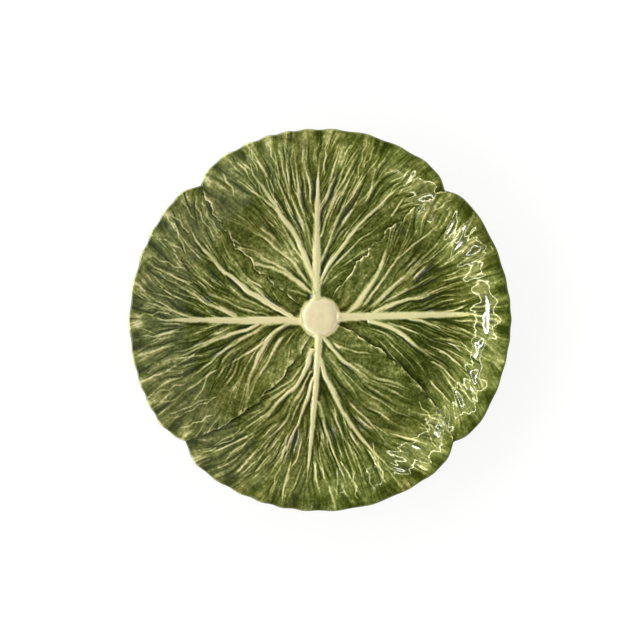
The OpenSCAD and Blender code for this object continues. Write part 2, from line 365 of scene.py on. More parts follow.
# Places where the brush left more glaze or less: direction in degrees, share of the way out,
# half its width in degrees, half its length as a share, and the change.
BRUSHED = (
    (15, 0.6, 24, 0.12, 0.2), (-22, 0.56, 22, 0.15, 0.17), (66, 0.6, 20, 0.15, 0.04),
    (203, 0.08, 24, 0.12, 0.05), (248, 0.1, 22, 0.13, -0.3), (290, 0.08, 20, 0.12, -0.27),
    (292, 0.32, 18, 0.14, 0.08), (337, 0.08, 20, 0.12, -0.12), (25, 0.3, 22, 0.14, -0.15),
    (200, 0.33, 24, 0.12, -0.11), (242, 0.33, 22, 0.12, -0.14), (112, 0.28, 24, 0.16, -0.24),
    (200, 0.6, 22, 0.12, 0.05), (112, 0.92, 22, 0.08, -0.14), (-22, 0.94, 24, 0.08, -0.11),
    (60, 0.82, 22, 0.1, -0.05), (205, 0.93, 20, 0.08, -0.02), (157, 0.33, 22, 0.12, -0.05),
    (-22, 0.33, 20, 0.12, -0.07),
)


def path_of(start, cross, bend):
    """Share w of a vein at every step of q."""
    return cross * (np.clip((STEPS - start) / (1 - start), 0, None)) ** bend


def flow_knots(k, side):
    """Start, crossing and bend of the veins on one side, from the leaf's base to its tip."""
    mains = sorted((v for v in SIDE_VEINS[k] if v[1] * side > 0 and v[4] > 0.55), key=lambda v: -abs(v[1]))
    knots = [(0.0, 2.6, 0.55), (0.02, 1.25, 0.5)]
    knots += [(v[0], abs(v[1]), v[3]) for v in mains]
    knots += [(0.7, 0.06, 0.7), (0.97, 0.0, 0.8)]
    return np.array(knots)


def knot_at(knots, t):
    """A vein between the given ones; t runs from 0 to 1 over all of them."""
    place = np.linspace(0, 1, len(knots))
    return [np.interp(t, place, knots[:, i]) for i in range(3)]


def flow_shares(k, side, q, w):
    """Which vein line, from 0 to 1, passes through each point of one half leaf."""
    knots = flow_knots(k, side)
    lines = np.linspace(0, 1, 160)
    table = np.minimum.accumulate([path_of(*knot_at(knots, t)) for t in lines])
    across = np.linspace(0, 1.6, 200)
    flow = np.empty((len(STEPS), len(across)))
    for n in range(len(STEPS)):
        flow[n] = np.interp(-across, -table[:, n], lines)
    rows = np.clip(q / STEPS[-1], 0, 1) * (len(STEPS) - 1)
    return sampled(flow, rows, np.clip(w / across[-1], 0, 1) * (len(across) - 1))


def vein(path, start, end, half, high, cream, groove=0.0, rise=0.03, places=None):
    """A vein with its half width, height and cream tone at every step of q. The cream tones
    are those at its two ends, or at the given places."""
    along = np.clip((STEPS - start) / (end - start), 0, 1)
    taper = smooth((STEPS - start) / rise) * smooth((end - STEPS) / (0.35 * (end - start)))
    return SimpleNamespace(
        path=path,
        slope=np.gradient(path, STEPS),
        half=np.interp(along, np.linspace(0, 1, len(half)), half) * np.maximum(taper, 0.25),
        high=np.interp(along, [0, 1], high) * taper,
        cream=np.interp(STEPS, places or (start, end), cream) * smooth(taper * 3),
        groove=groove * taper,
        side=int(np.sign(path[-1])),
    )


def draw_veins(k, relief, rng):
    """Midrib, main side veins with forks, thin veins, crinkles and small veins of leaf k."""
    draw = rng.uniform
    rib = vein(
        np.zeros_like(STEPS), -0.05, 0.95, (1, 1), (relief.midrib_height, 0.3),
        (1, 1, 0.85, 0.45, 0.15), 0.3, places=(0, 0.62, 0.72, 0.8, 0.9),
    )
    rib.half = relief.midrib_width / 2 * np.interp(STEPS, MIDRIB_PLACES, MIDRIB_WIDTHS[k])
    veins = [rib]
    for start, cross, fade, bend, size, tone in SIDE_VEINS[k]:
        path = path_of(start, cross, bend)
        half = relief.vein_width / 2 * size
        halves = (1.12 * half, 0.95 * half, 0.55 * half, 0.25)
        high = (relief.vein_height * size * (0.6 + 0.4 * tone), 0.22)
        cream = (0.86 * tone, 0.55 * tone, 0.22 * tone, 0.05 * tone)
        places = (fade - 0.25, fade - 0.08, fade + 0.06, fade + 0.2)
        veins.append(vein(path, start, min(0.97, fade + 0.2), halves, high, cream, 0.17, 0.008, places))
        for sign in (-1, 1):
            fork = draw(0.45, 0.75) * fade + 0.1
            veins.append(forked(path, fork, fork + draw(0.2, 0.4), sign, rng, 0.5))
    for q0, w0, q1, w1 in THIN_VEINS[k]:
        path = mix(w0, w1, (STEPS - q0) / (q1 - q0))
        veins.append(vein(path, q0, q1, (0.5, 0.5, 0.3), (0.5, 0.25), (0.55, 0.4), 0.16))
    for n in range(CRINKLES[k]):
        q0, w0 = draw(0.62, 0.82), draw(-0.95, 0.95)
        q1 = min(q0 + draw(0.2, 0.4), 0.99)
        path = mix(w0, w0 * 1.05 + draw(-0.08, 0.08), (STEPS - q0) / (q1 - q0))
        path = path + 0.009 * zigzag(draw(7, 13) * STEPS + draw(0, 1))
        tone = draw(0.25, 0.55)
        veins.append(vein(path, q0, q1, (0.3, 0.4, 0.25), (0.3, 0.2), (tone, 0.8 * tone), 0.12))
    return veins + small_veins(k, -1, rng) + small_veins(k, 1, rng)


def small_veins(k, side, rng):
    """Small veins with their forks between the main ones, on one side of leaf k."""
    draw = rng.uniform
    veins = []
    for n in range(SMALL_VEINS):
        start, cross, bend = knot_at(flow_knots(k, side), (n + draw(0, 1)) / SMALL_VEINS)
        path = path_of(start, cross * side, bend)
        begin = start + draw(0.0, 0.35) * (1 - start)
        # it ends at the latest where it reaches the side of the leaf
        outside = np.abs(path) > 0.95
        end = min(draw(0.5, 0.98), STEPS[np.argmax(outside)] if outside.any() else 1.0)
        if end - begin < 0.12:
            continue
        half, high, tone = (draw(*limits) for limits in (BOLD if draw() < 0.4 else SLIGHT))
        veins.append(vein(path, begin, end, (half, 0.3), (high, 0.2), (tone, 0.5 * tone), 0.16, 0.08))
        if draw() < 0.5:
            fork = mix(begin, end, draw(0.35, 0.75))
            veins.append(forked(path, fork, fork + draw(0.15, 0.35), 1, rng, 0.35))
            veins.append(forked(path, fork + 0.03, fork + draw(0.2, 0.35), -1, rng, 0.35))
    return veins


def forked(path, start, end, sign, rng, high):
    """A small vein that leaves another one and drifts away from it."""
    end = min(0.98, end)
    spread = sign * rng.uniform(0.05, 0.11)
    drift = spread * np.clip((STEPS - start) / (1 - start), 0, None) ** 0.8
    tone = rng.uniform(0.08, 0.3)
    return vein(path + drift, start, end, (0.5, 0.25), (high, 0.15), (tone, 0.1), 0.1, 0.06)


# -------------------- relief raster of one leaf
# Lengths in millimetres: cell of the raster, its margin, and how far fibres are smeared each way
RASTER_STEP, RASTER_MARGIN, FIBRE_REACH = 0.25, 5, 11
# Grain sizes of what runs along the fibres: folds, ridges, streaks, hairs and ripples
GRAINS = (1.3, 0.65, 0.4, 0.28, 0.95)


def sampled(field, rows, cols):
    """Bilinear samples of a raster at fractional rows and columns."""
    rows, cols = (np.clip(v, 0, size - 1.001) for v, size in zip((rows, cols), field.shape))
    i, j = rows.astype(int), cols.astype(int)
    u, v = rows - i, cols - j
    return (
        field[i, j] * (1 - u) * (1 - v)
        + field[i + 1, j] * u * (1 - v)
        + field[i, j + 1] * (1 - u) * v
        + field[i + 1, j + 1] * u * v
    )


def blurred(field, size):
    """Gaussian blur; size is in millimetres."""
    sigma = size / RASTER_STEP
    down = np.fft.fftfreq(field.shape[0])[:, None]
    over = np.fft.rfftfreq(field.shape[1])[None, :]
    gain = np.exp(-2 * (math.pi * sigma) ** 2 * (down**2 + over**2))
    return np.fft.irfft2(np.fft.rfft2(field) * gain, s=field.shape)


def cloud(shape, size, rng):
    """Even random bumps of about one size, with a mean of 0 and a spread of 1."""
    field = blurred(rng.standard_normal(shape), size)
    return (field - field.mean()) / field.std()


def smeared(fields, over, down, reach):
    """Average each field along the vein lines, over a reach in millimetres each way."""
    step = 0.5 / RASTER_STEP
    count = int(reach / 0.5)
    rows, cols = fields[0].shape
    row0, col0 = np.mgrid[0:rows, 0:cols].astype(np.float32)
    totals = [f.copy() for f in fields]
    for sign in (step, -step):
        row, col = row0.copy(), col0.copy()
        i, j = row0.astype(int), col0.astype(int)
        for n in range(count):
            row += sign * down[i, j]
            col += sign * over[i, j]
            i = np.clip(np.rint(row), 0, rows - 1).astype(int)
            j = np.clip(np.rint(col), 0, cols - 1).astype(int)
            weight = math.cos(math.pi / 2 * (n + 1) / (count + 1)) ** 2
            for total, field in zip(totals, fields):
                total += weight * field[i, j]
    return [(t - t.mean()) / t.std() for t in totals]


def fold_lines(field, over, down, half):
    """Narrow lines along the crests and along the hollows of a smeared field, from 0 to 1."""
    fy, fx = np.gradient(field, RASTER_STEP)
    across = over * fy - down * fx
    ay, ax = np.gradient(across, RASTER_STEP)
    curl = over * ay - down * ax
    line = hump(across, np.abs(curl) * half + 1e-6)
    line *= smooth(np.abs(curl) / curl.std(), 0.25, 1.6)
    return np.where(curl < 0, line, 0), np.where(curl > 0, line, 0)


def drawn(veins, q, w, wiggle):
    """Height, cream tone and side grooves of the veins, each drawn only near its path."""
    wy, wx = np.gradient(w, RASTER_STEP)
    qy, qx = np.gradient(q, RASTER_STEP)
    height, cream, groove = (np.zeros(q.size) for _ in range(3))
    inside = (q < 1.04) & (np.abs(w) < 1.2)
    for side in (-1, 1):
        where = np.flatnonzero(inside & (w * side > -0.15))
        qs, ws, wxs, wys, qxs, qys, wig = (f.ravel()[where] for f in (q, w, wx, wy, qx, qy, wiggle))
        step = np.clip(qs / STEPS[-1], 0, 1) * (len(STEPS) - 1.001)
        low = step.astype(int)
        part = step - low
        for v in veins:
            if v.side not in (0, side):
                continue
            path = v.path[low] * (1 - part) + v.path[low + 1] * part
            slope = v.slope[low]
            steep = np.hypot(wxs - slope * qxs, wys - slope * qys)
            away = np.abs((ws - path) / np.maximum(steep, 1e-5) + wig * (v.side != 0))
            near = np.flatnonzero(away < 4 * v.half.max())
            i, spot = low[near], where[near]
            away = away[near] / np.maximum(v.half[i], 0.1)
            height[spot] = np.maximum(height[spot], v.high[i] * hump(away, 1.1, 2.4))
            soft = 0.5 if v.side == 0 else 0.15
            cream[spot] = np.maximum(cream[spot], v.cream[i] * (1 - smooth(away, soft, 1.5)))
            groove[spot] = np.maximum(groove[spot], v.groove[i] * hump(away - 1.8, 0.6))
    return [f.reshape(q.shape) for f in (height, cream, groove)]


def leaf_points(p, k):
    """Raster over leaf k, seen from above: where each point is on the leaf, and its edge gaps."""
    q = np.linspace(0, 1, 80)
    outline = [(radius_at(p, q, a), a) for a in (edge_angle(p, k, q), edge_angle(p, k - 1, q))]
    rim = np.linspace(edge_angle(p, k - 1, 1.0), edge_angle(p, k, 1.0), 80)
    outline.append((rim_radius(p, rim), rim))
    xs = np.concatenate([r * np.cos(a) for r, a in outline])
    ys = np.concatenate([r * np.sin(a) for r, a in outline])
    spans = [np.arange(v.min() - RASTER_MARGIN, v.max() + RASTER_MARGIN, RASTER_STEP) for v in (xs, ys)]
    x, y = np.meshgrid(*spans)
    r = np.maximum(np.hypot(x, y), 0.5)
    start = midrib_angle(p, k, 0.5)
    a = start + (np.arctan2(y, x) - start + math.pi) % TURN - math.pi
    q = np.clip(share_at(p, r, a), 0, STEPS[-1])
    mid = midrib_angle(p, k, q)
    free, under = edge_angle(p, k, q, False), edge_angle(p, k - 1, q, False)
    w = np.where(a > mid, (a - mid) / (free - mid), (a - mid) / (mid - under))
    gaps = (edge_angle(p, k, q) - a) * r, (a - edge_angle(p, k - 1, q)) * r
    return SimpleNamespace(x=x, y=y, r=r, a=a, q=q, w=w, left=0.5 - 0.5 * np.cos(a), gaps=gaps)


def fibres(p, k, at, rng):
    """Direction of the fibres at each point: along the vein lines, wandering a little."""
    flow = np.where(at.w > 0, *(flow_shares(k, side, at.q, np.abs(at.w)) for side in (1, -1)))
    down, over = np.gradient(flow, RASTER_STEP)
    size = np.maximum(np.hypot(down, over), 1e-6)
    over, down = -down / size, over / size
    outward = np.sign(over * at.x + down * at.y)
    over, down = over * outward, down * outward
    # close to the stalk they simply run outward
    core = np.maximum(1 - smooth(at.r, p.stalk_r, p.stalk_r + 4), 1 - smooth(size, 0.0002, 0.001))
    over, down = mix(over, at.x / at.r, core), mix(down, at.y / at.r, core)
    sway = 0.13 * cloud(flow.shape, 4.5, rng) + 0.09 * cloud(flow.shape, 2.0, rng)
    return over * np.cos(sway) - down * np.sin(sway), over * np.sin(sway) + down * np.cos(sway)


def leaf_clay(p, k, relief, at, rng):
    """Height of leaf k's clay, its cream tone, and what the glaze on it follows."""
    q, r, shape, (free_gap, under_gap) = at.q, at.r, at.q.shape, at.gaps
    over, down = fibres(p, k, at, rng)
    grains = [cloud(shape, size, rng) for size in GRAINS]
    folds, ridges, streaks, hairs, ripples = smeared(grains, over, down, FIBRE_REACH)
    outer = smooth(q, 0.72, 0.95)
    folds = mix(folds, 0.75 * folds + 0.25 * cloud(shape, 1.5, rng), outer)
    ridges = mix(ridges, 0.8 * ridges + 0.5 * cloud(shape, 0.9, rng), outer)
    # lean each fold to one side, so that it falls steeply into the next groove
    rows, cols = np.mgrid[0 : shape[0], 0 : shape[1]].astype(float)
    lean = 0.45 * folds / RASTER_STEP
    folds = sampled(folds, rows + lean * over, cols - lean * down)
    crest, groove = fold_lines(folds, over, down, 0.35)
    fine_crest, fine_groove = fold_lines(ridges, over, down, 0.3)

    wiggle = 0.4 * cloud(shape, 4.5, rng) + 0.14 * cloud(shape, 1.6, rng)
    veins, cream, beside = drawn(draw_veins(k, relief, rng), q, at.w, wiggle)
    beside *= smooth(cloud(shape, 3.0, rng), -0.6, 1.0)
    cream *= 1 - 0.12 * smooth(cloud(shape, 1.2, rng), 0, 1.5) - 0.25 * smooth(streaks + hairs, 0, 3)
    cream *= 1 - smooth(q, 0.74, 0.87) * smooth(np.cos(at.a), 0.2, 0.8)

    # folds and ridges: calmer towards the leaf's sides and the rim, strongest half way out
    calm = 1 - 0.8 * smooth(np.abs(at.w), 0.45, 0.85) * (1 - smooth(q, 0.6, 0.85))
    level = calm * smooth(q, 0.03, 0.15) * (1 - (1 - at.left) * (0.35 * outer + 0.4 * smooth(q, 0.87, 0.95)))
    band = 0.6 * hump(q - 0.58, 0.14)
    bare = level * (1 - 0.85 * smooth(cream, 0.25, 0.7)) * (1 + 0.7 * band)
    # the finest lines come in patches
    patchy = 0.25 + 1.1 * smooth(cloud(shape, 3.5, rng), -0.7, 1.3)
    fine_crest, fine_groove = fine_crest * patchy, fine_groove * patchy
    clay = relief.fold_height * folds * bare
    clay += relief.ridge_height * (crest + 0.8 * fine_crest) * bare
    clay -= relief.groove_depth * (groove * (0.6 + 0.5 * patchy) + 0.5 * fine_groove) * bare
    clay += relief.streak_height * streaks * bare
    clay += veins - beside * (1 - smooth(cream, 0.2, 0.7))

    # free edge: a thin roll with small bumps; the leaf below dips under it
    roll = hump(free_gap, 2.2)
    clay += 0.2 * cloud(shape, 0.9, rng) * roll * smooth(q, 0.03, 0.2) * (1 - 0.7 * smooth(q, 0.65, 0.8))
    clay -= 0.2 * hump(under_gap, 2.5) * smooth(q, 0.05, 0.2) * (1 - 0.8 * smooth(q, 0.65, 0.85))
    clay *= 1 - 0.5 * hump(under_gap, 3.0) * smooth(q, 0.4, 0.6)
    # calm under the stalk, with a small fillet round it
    clay *= mix(0.25, 1, smooth(r, p.stalk_r - 3, p.stalk_r - 0.8))
    fillet = hump(np.maximum(r - p.stalk_r, 0), 1.2)
    clay += 0.5 * fillet * smooth(r, p.stalk_r - 2, p.stalk_r - 0.5)
    cream = np.maximum(cream, 0.75 * (1 - smooth(r, p.stalk_r + 0.1, p.stalk_r + 1.6)))

    tones = 0.14 * groove + 0.2 * fine_groove - 0.11 * crest - 0.13 * fine_crest
    return SimpleNamespace(
        z=clay, veins=veins, cream=cream, calm=calm, ripples=ripples, hairs=0.045 * streaks + 0.06 * hairs,
        tones=tones * smooth(q, 0.3, 0.6) * level * (1 + band),
    )


def leaf_glaze(k, at, clay, rng):
    """Thickness of the glaze: it runs off the crests into the hollows and thins over the ribs. Painted shade and
    painted highlights along the free edges and the rim are added to it.
    """
    q, a, shape, (free_gap, under_gap) = at.q, at.a, at.q.shape, at.gaps
    glaze = 0.585 - 0.9 * (clay.z - blurred(clay.z, 0.8)) - 0.4 * (clay.z - blurred(clay.z, 2.6))
    near = 1 - smooth(at.r, 12, 30)
    glaze += clay.hairs * (1 + 0.4 * near) * (0.4 + 0.6 * clay.calm)
    glaze += 0.035 * cloud(shape, 3.5, rng) + (0.075 - 0.02 * clay.calm) * cloud(shape, 0.35, rng)
    # glaze pools in the dip under the next leaf's free edge, and painted shade darkens it further
    glaze += EDGE_POOLS_AND_SHADE[k - 1] * (0.2 * hump(under_gap, 3.0) + 0.22 * hump(under_gap, 0.7))
    glaze += clay.tones
    # a pale broken line along the free edge: thin glaze with a painted highlight
    broken = 0.4 + 0.6 * smooth(cloud(shape, 2.5, rng), -0.8, 0.6)
    glaze -= EDGE_PALE_GLAZE_AND_HIGHLIGHTS[k] * broken * hump(free_gap, 0.65) * smooth(q, 0.02, 0.1)
    # glaze gathers along the rim; the rim is darker on the right with painted shade and paler on the left with a
    # painted highlight, and the scallop hollows are darker and the crests paler, from pooled glaze and from
    # painted shade and highlight, most on the left
    right = 0.5 + 0.5 * np.cos(a + 0.35)
    rim = 0.22 * right - 0.03 - (0.1 + 0.1 * at.left) * scallop(a) + 0.06 * cloud(shape, 1.5, rng)
    glaze += rim * smooth(q, 0.89, 0.95)
    for angle, share, wide, long, change in BRUSHED:
        apart = (np.degrees(a) - angle + 180) % 360 - 180
        glaze += change * hump(apart, wide) * hump(q - share, long)
    # thin crinkle lines near the rim, most of them on the left
    web = hump(cloud(shape, 1.3, rng), 0.16) * smooth(cloud(shape, 3, rng), -0.6, 0.8)
    glaze -= 0.13 * web * smooth(q, 0.68, 0.85) * (1 - smooth(q, 0.96, 0.99)) * (0.3 + 0.7 * at.left)
    return glaze * (1 - np.clip(clay.cream, 0, 1) * 0.97)


def glazed_height(p, relief, at, clay):
    """Height of the glaze: a softer copy of the clay, with smooth ripples on the wall."""
    degrees = np.degrees((at.a + math.pi) % TURN - math.pi)
    lively = 0.4 + sum(strength * hump(degrees - angle, wide) for angle, wide, strength in LIVELY)
    line, gap = hump(degrees - TOOL_ANGLE, TOOL_REACH, 4), at.r - TOOL_SHARE * p.plate_r
    drops = sum(
        half * hump(np.hypot(np.radians(degrees - angle) * at.r, at.r - away), half)
        for angle, away, half in DROPS
    )
    # still next to the tool line and the drops, and outside the line on the right
    still = np.minimum(line * hump(gap, 3.0) + 0.6 * drops, 1)
    lively *= 1 - 0.92 * still
    lively *= 1 - 0.7 * smooth(gap, -2, 2) * smooth(degrees, -50, -40) * (1 - smooth(degrees, 5, 15))
    rippled = 0.15 * (1 - 0.7 * still) * blurred(clay.z, 1.3)
    rippled += relief.ripple_height * blurred(clay.ripples, 0.65) * lively
    # the tool line makes up for the rim's slow waves, so that one lamp shows all along it
    evened = 2.08 - 0.65 * np.cos(WAVE_COUNT * at.a)
    rippled += TOOL_HEIGHT * evened * np.tanh(gap / TOOL_WIDTH) * line + DROP_HEIGHT * drops
    z = mix(clay.z, blurred(clay.z, 0.45), mix(0.5, 1, smooth(at.q, 0.55, 0.75)))
    return mix(z, rippled, smooth(at.q, 0.68, 0.8) * (1 - 0.5 * at.left))


def leaf_raster(p, k, relief):
    """Height, glaze thickness and cream tone of leaf k, and where a point is in these rasters."""
    rng = np.random.default_rng(relief.seed + k)
    at = leaf_points(p, k)
    clay = leaf_clay(p, k, relief, at, rng)
    x0, y0 = at.x[0, 0], at.y[0, 0]
    return SimpleNamespace(
        z=glazed_height(p, relief, at, clay), glaze=np.clip(leaf_glaze(k, at, clay, rng), 0, 1),
        cream=np.clip(clay.cream, 0, 1), under=blurred(clay.veins, 0.9),
        place=lambda x, y: ((y - y0) / RASTER_STEP, (x - x0) / RASTER_STEP),
    )


# -------------------- meshes

# Cells of a leaf before they are made finer, and how many of them round its edge and its lip
COLUMNS, ROWS, EDGE_COLUMNS, LIP_ROWS = 110, 72, 3, 3


def leaf_grid():
    """A closed slab whose upper side has fine cells, and finer ones towards the rim."""
    bm = bmesh.new()
    bmesh.ops.create_grid(bm, x_segments=COLUMNS, y_segments=ROWS, size=0.5)
    lifted = bmesh.ops.extrude_face_region(bm, geom=bm.faces[:])["geom"]
    bmesh.ops.translate(bm, verts=[g for g in lifted if isinstance(g, bmesh.types.BMVert)], vec=(0, 0, 1))
    for along, cuts, start in ((0, 3, -1.0), (1, 1, -0.25), (1, 1, 0.0)):
        upper = [f for f in bm.faces if all(v.co.z > 0.99 for v in f.verts)]
        edges = {
            e
            for f in upper
            for e in f.edges
            if abs(e.verts[0].co[along] - e.verts[1].co[along]) < 1e-6 and e.verts[0].co.y > start - 1e-4
        }
        bmesh.ops.subdivide_edges(bm, edges=list(edges), cuts=cuts, use_grid_fill=True)
    return bm


def shape_leaf(p, k, mesh, fields, relief):
    """Move the slab's points on to leaf k, and note the glaze at each, with the painted shade and painted
    highlights that it carries along the edges, the rim and the lip.
    """
    count = len(mesh.vertices)
    co = np.empty(count * 3)
    mesh.vertices.foreach_get("co", co)
    co = co.reshape(-1, 3)
    across, along, top = 0.5 - co[:, 0], co[:, 1] + 0.5, co[:, 2] > 0.5

    # rows: even up to the lip, then round it
    lip_start = 1 - LIP_ROWS / ROWS
    turn = np.clip((along - lip_start) / (1 - lip_start), 0, 1) * math.pi / 2
    q = np.where(along < lip_start, along / lip_start * p.lip_share, mix(p.lip_share, 1, np.sin(turn)))
    lip_drop = (p.rim_clay / 2 - 0.15) * (1 - np.cos(turn))

    # columns: even up to the rounding of the free edge
    low, high = edge_angle(p, k - 1, q), edge_angle(p, k, q)
    span = (high - low) * mix(p.core_r, p.plate_r, q)
    edge_start = 1 - EDGE_COLUMNS / COLUMNS
    bend = np.clip((across - edge_start) / (1 - edge_start), 0, 1) * math.pi / 2
    rounding = p.edge_round / span
    v = np.where(across < edge_start, across / edge_start * (1 - rounding), 1 - rounding * (1 - np.sin(bend)))
    a = mix(low, high, v)
    r = radius_at(p, q, a)
    # underneath, the leaves close over the middle of the plate
    r = np.where(top, r, np.maximum(r - p.core_r * (1 - smooth(q, 0, 0.05)), 0.15))
    x, y = r * np.cos(a), r * np.sin(a)

    gap = (high - a) * r
    lift = p.edge_step * np.clip(1 - gap / p.edge_rise, 0, 1) ** 2 * smooth((r - p.stalk_r) / p.edge_rise)
    lift *= 1 - 0.6 * smooth(q, 0.55, 0.85)
    rounded = p.edge_round * (1 - np.cos(bend)) * smooth((r - p.stalk_r) / p.edge_rise)
    place = fields.place(x, y)
    rim_fade = 1 - 0.75 * smooth(q, p.lip_share - 0.01, 1)
    base = upper_height(p, q, a)
    waves = 0.25 * scallop(a) * smooth(q, 0.88, 0.99)
    upper = base + lift - rounded * 0.8 - lip_drop + waves + sampled(fields.z, *place) * rim_fade
    upper = np.minimum(upper, p.plate_height - 0.05)

    clay = mix(p.floor_clay, p.rim_clay, wall_share(p, q))
    foot_r = p.foot_width / 2
    back = relief.back_relief * sampled(fields.under, *place) * smooth(r, foot_r + 2, foot_r + 12)
    under = base - clay + lip_drop - back * (1 - smooth(q, 0.9, 1)) + waves * 0.6
    under = np.maximum(under, p.foot_height)
    z = np.where(top, upper, under)

    moved = np.stack([x, y + p.stalk_offset, z], axis=1) * MM
    mesh.vertices.foreach_set("co", moved.ravel().astype(np.float32))
    glaze = np.where(top, sampled(fields.glaze, *place), 0.6 - 0.25 * sampled(fields.under, *place))
    # the lip: a painted highlight on the left and painted shade on the right, with the scallop crests paler and
    # the hollows darker, most on the left, from pooled glaze and from painted shade and highlight
    lip = smooth(q, 0.985, 0.998)
    glaze = mix(glaze, 0.6 + 0.2 * np.cos(a + 0.35) - (0.17 - 0.09 * np.cos(a)) * scallop(a), lip * 0.85)
    cream = np.where(top, sampled(fields.cream, *place), 0) * (1 - lip)
    for name, values in (("glaze", glaze), ("cream", cream)):
        mesh.attributes.new(name, "FLOAT", "POINT").data.foreach_set("value", values.astype(np.float32))


def turned(profile, steps, closed=False):
    """Spin a profile of (radius, height), in millimetres, round the upright axis."""
    bm = bmesh.new()
    verts = [bm.verts.new((x * MM, 0, z * MM)) for x, z in profile]
    edges = [bm.edges.new(pair) for pair in zip(verts, verts[1:] + verts[:1] * closed)]
    bmesh.ops.spin(
        bm, geom=verts + edges, axis=(0, 0, 1), cent=(0, 0, 0), steps=steps, angle=TURN, use_merge=True
    )
    bmesh.ops.remove_doubles(bm, verts=bm.verts, dist=1e-6)
    bmesh.ops.recalc_face_normals(bm, faces=bm.faces)
    return bm


def finished(bm, name, material):
    """Turn a bmesh into a smooth shaded object with one material."""
    mesh = bpy.data.meshes.new(name)
    bm.to_mesh(mesh)
    bm.free()
    mesh.shade_smooth()
    mesh.materials.append(material)
    piece = bpy.data.objects.new(name, mesh)
    bpy.context.scene.collection.objects.link(piece)
    return piece


# -------------------- materials


def add(tree, kind, links=(), **settings):
    """Add a node with its settings; each link is (input, source socket or constant)."""
    node = tree.nodes.new(kind)
    for name, value in settings.items():
        if hasattr(node, name):
            setattr(node, name, value)
        else:
            node.inputs[name.replace("_", " ")].default_value = value
    for name, source in links:
        if isinstance(source, bpy.types.NodeSocket):
            tree.links.new(source, node.inputs[name])
        else:
            node.inputs[name].default_value = source
    return node


def calc(tree, operation, *values):
    """Result of one math node."""
    return add(tree, "ShaderNodeMath", list(enumerate(values)), operation=operation).outputs[0]


def eased(tree, value, low, high, start=0.0, end=1.0):
    """Ease from start to end while the value goes from low to high."""
    links = [("Value", value), ("From Min", low), ("From Max", high), ("To Min", start), ("To Max", end)]
    return add(tree, "ShaderNodeMapRange", links, interpolation_type="SMOOTHSTEP").outputs[0]


def new_material(name):
    """An empty material and its node tree."""
    material = bpy.data.materials.new(name)
    material.use_nodes = True
    material.node_tree.nodes.clear()
    return material, material.node_tree


def surfaced(material, shader):
    """The material with its shader connected."""
    add(material.node_tree, "ShaderNodeOutputMaterial", [("Surface", shader)])
    return material


def noise(tree, size, detail=2.0, roughness=0.5):
    """Noise from 0 to 1 with grains of one size in millimetres."""
    links = [("Vector", add(tree, "ShaderNodeTexCoord").outputs["Object"])]
    node = add(tree, "ShaderNodeTexNoise", links, Scale=1 / (size * MM), Detail=detail, Roughness=roughness)
    return node.outputs["Fac"]


def coat(tree, tone, height, strength, depth, roughness):
    """Glaze or clay with fine bumps; their depth is in millimetres."""
    bump = add(tree, "ShaderNodeBump", [("Height", height)], Strength=strength, Distance=depth * MM)
    links = [("Base Color", tone), ("Normal", bump.outputs["Normal"])]
    return add(tree, "ShaderNodeBsdfPrincipled", links, Roughness=roughness, IOR=1.5).outputs[0]


def ramp(tree, factor, places, tones):
    """Colours along a factor, with one tone at each place."""
    node = add(tree, "ShaderNodeValToRGB", [("Fac", factor)])
    ends = node.color_ramp.elements
    while len(ends) < len(places):
        ends.new(0.5)
    for element, place, tone in zip(ends, places, tones):
        element.position = place
        element.color = (*tone, 1)
    return node.outputs["Color"]


def green_glaze(c):
    """Transparent green lead-type glaze, brushed on and fired glossy: it shows the cream
    clay where it runs thin over a crest, and is near black-green where it pools in a groove."""
    material, tree = new_material("green_glaze")
    # the glaze attribute holds glaze thickness together with painted shade and painted highlights along the leaf
    # edges, the rim and the lip
    glaze = add(tree, "ShaderNodeAttribute", attribute_name="glaze").outputs["Fac"]
    cream = add(tree, "ShaderNodeAttribute", attribute_name="cream").outputs["Fac"]
    # brushed patches of 8 mm and mottling of 1.5 mm
    both = calc(tree, "ADD", noise(tree, 8, 3.0, 0.6), noise(tree, 1.5, 4.0, 0.7))
    varied = calc(tree, "SUBTRACT", both, 1.0)
    shift = calc(tree, "MULTIPLY_ADD", varied, calc(tree, "MULTIPLY_ADD", cream, -0.26, 0.3), glaze)
    places = (0.0, 0.1, 0.26, 0.42, 0.58, 0.74, 0.93)
    tone = ramp(tree, shift, places, (c.cream, c.cream, c.pale, c.light, c.middle, c.deep, c.pooled))
    # slow swing between olive and a cooler green, 30 mm across
    hue = eased(tree, noise(tree, 30), 0.35, 0.65, 0.492, 0.51)
    shifted = add(tree, "ShaderNodeHueSaturation", [("Color", tone), ("Hue", hue)]).outputs["Color"]
    return surfaced(material, coat(tree, shifted, noise(tree, 1.1), 0.1, 0.01, 0.05))


def cream_glaze(colours):
    """Cream glaze over the same clay: warm and a little uneven."""
    material, tree = new_material("cream_glaze")
    tones = [v * 0.92 for v in colours.stalk], [min(1, v * 1.05) for v in colours.stalk]
    tone = ramp(tree, noise(tree, 5, 4.0), (0.3, 0.7), tones)
    return surfaced(material, coat(tree, tone, noise(tree, 1.5), 0.3, 0.04, 0.22))


